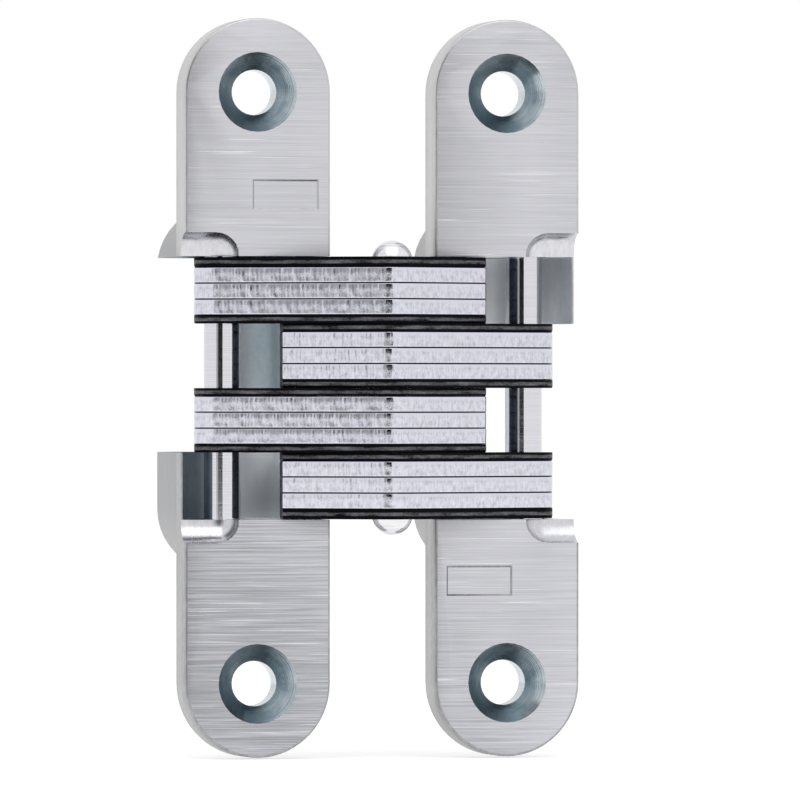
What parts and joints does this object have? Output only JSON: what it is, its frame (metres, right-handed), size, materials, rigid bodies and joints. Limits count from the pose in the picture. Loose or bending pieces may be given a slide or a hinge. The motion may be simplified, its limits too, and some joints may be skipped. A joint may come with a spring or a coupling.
{
  "type": "concealed hinge",
  "caption": "Concealed mortise hinge: two round-ended leaves with deep casings, joined by a scissor of stacked link plates on a domed centre rivet.",
  "frame": {"origin": "centre of the bounding box of the fully open hinge, on the axis of the half turn that maps it on itself", "axes": "+Z along the pins and the leaves' length, +X from the left leaf to the right one, +Y from the leaf faces into the mortises; the faces look towards -Y"},
  "size_m": [0.052, 0.0358, 0.0952],
  "materials": {
    "satin_chrome": "satin chrome on a die casting, fine lines across the face",
    "link_steel": "stamped steel with sheared edges",
    "blackened_steel": "matt black",
    "polished_steel": "ground and polished"
  },
  "bodies": {
    "left_leaf": {"left_leaf": "satin_chrome", "left_fixed_pin": "polished_steel"},
    "links_b": {"link_2_black_upper": "blackened_steel", "link_2_silver_1": "link_steel", "link_2_silver_2": "link_steel", "link_2_silver_3": "link_steel", "link_2_black_lower": "blackened_steel", "link_4_black_upper": "blackened_steel", "link_4_silver_1": "link_steel", "link_4_silver_2": "link_steel", "link_4_silver_3": "link_steel", "link_4_black_lower": "blackened_steel", "right_slide_pin": "polished_steel"},
    "links_a": {"link_1_black_upper": "blackened_steel", "link_1_silver_1": "link_steel", "link_1_silver_2": "link_steel", "link_1_silver_3": "link_steel", "link_1_black_lower": "blackened_steel", "link_3_black_upper": "blackened_steel", "link_3_silver_1": "link_steel", "link_3_silver_2": "link_steel", "link_3_silver_3": "link_steel", "link_3_black_lower": "blackened_steel", "left_slide_pin": "polished_steel", "centre_rivet": "link_steel"},
    "right_leaf": {"right_leaf": "satin_chrome", "right_fixed_pin": "polished_steel"}
  },
  "joints": [
    {"name": "fold", "type": "hinge", "parent": "left_leaf", "child": "links_b", "pos_m": [-0.00912, -0.004, 0], "axis": [0, 0, -1], "range_deg": [0, 106.08]},
    {"name": "scissor", "type": "hinge", "parent": "links_b", "child": "links_a", "pos_m": [0, -0.0147, 0], "axis": [0, 0, 1], "range_deg": [0, 32.16]},
    {"name": "leaf_swing", "type": "hinge", "parent": "links_a", "child": "right_leaf", "pos_m": [0.00912, -0.004, 0], "axis": [0, 0, -1], "range_deg": [0, 106.08]}
  ],
  "couplings": [
    {"joint": "scissor", "follows": "fold", "ratio": 0.30313},
    {"joint": "leaf_swing", "follows": "fold", "ratio": 1}
  ]
}
